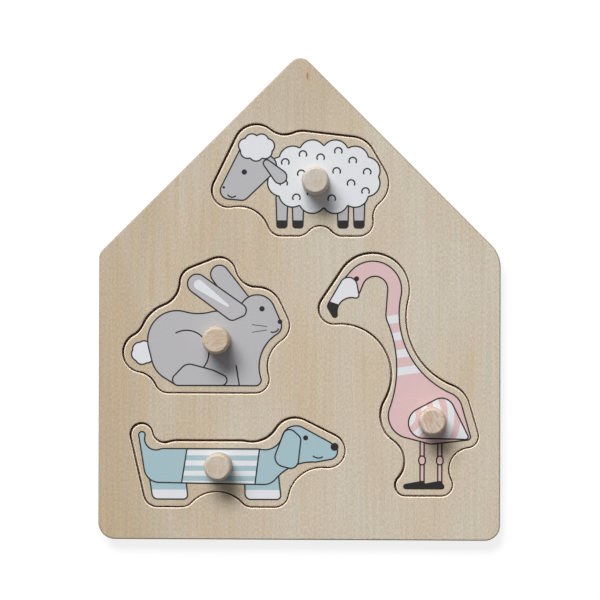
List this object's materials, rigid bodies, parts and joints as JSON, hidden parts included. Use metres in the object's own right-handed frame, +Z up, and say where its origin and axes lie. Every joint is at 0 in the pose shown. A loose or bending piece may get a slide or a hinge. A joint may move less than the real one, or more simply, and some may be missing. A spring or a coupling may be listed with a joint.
{
  "type": "peg puzzle",
  "caption": "House-shaped flat wooden peg puzzle: loose animal pieces with turned pegs lie in cut-outs of a plywood board closed by a backing sheet.",
  "frame": {"origin": "middle of the outline's bounding box, on the underside that the puzzle rests on", "axes": "+Z up, out of the front with the pegs; +Y from the straight base edge to the peak of the roof; +X to the right when the front is read with the peak at the top"},
  "size_m": [0.25, 0.2998, 0.0245],
  "materials": {
    "backing_plywood": "bare sanded plywood",
    "front_plywood": "pale plywood, clear matt lacquer",
    "piece_plywood": "pale plywood with a printed figure, clear matt lacquer",
    "peg_wood": "turned pale hardwood, clear matt lacquer"
  },
  "bodies": {
    "board": {"backing_board": "backing_plywood", "front_board": "front_plywood"},
    "sheep": {"sheep_piece": "piece_plywood", "sheep_peg": "peg_wood"},
    "rabbit": {"rabbit_piece": "piece_plywood", "rabbit_peg": "peg_wood"},
    "flamingo": {"flamingo_piece": "piece_plywood", "flamingo_peg": "peg_wood"},
    "dachshund": {"dachshund_piece": "piece_plywood", "dachshund_peg": "peg_wood"}
  },
  "joints": [
    {"name": "sheep_lift", "type": "slide", "parent": "board", "child": "sheep", "axis": [0, 0, 1], "range_m": [0, 0.03]},
    {"name": "rabbit_lift", "type": "slide", "parent": "board", "child": "rabbit", "axis": [0, 0, 1], "range_m": [0, 0.03]},
    {"name": "flamingo_lift", "type": "slide", "parent": "board", "child": "flamingo", "axis": [0, 0, 1], "range_m": [0, 0.03]},
    {"name": "dachshund_lift", "type": "slide", "parent": "board", "child": "dachshund", "axis": [0, 0, 1], "range_m": [0, 0.03]}
  ]
}
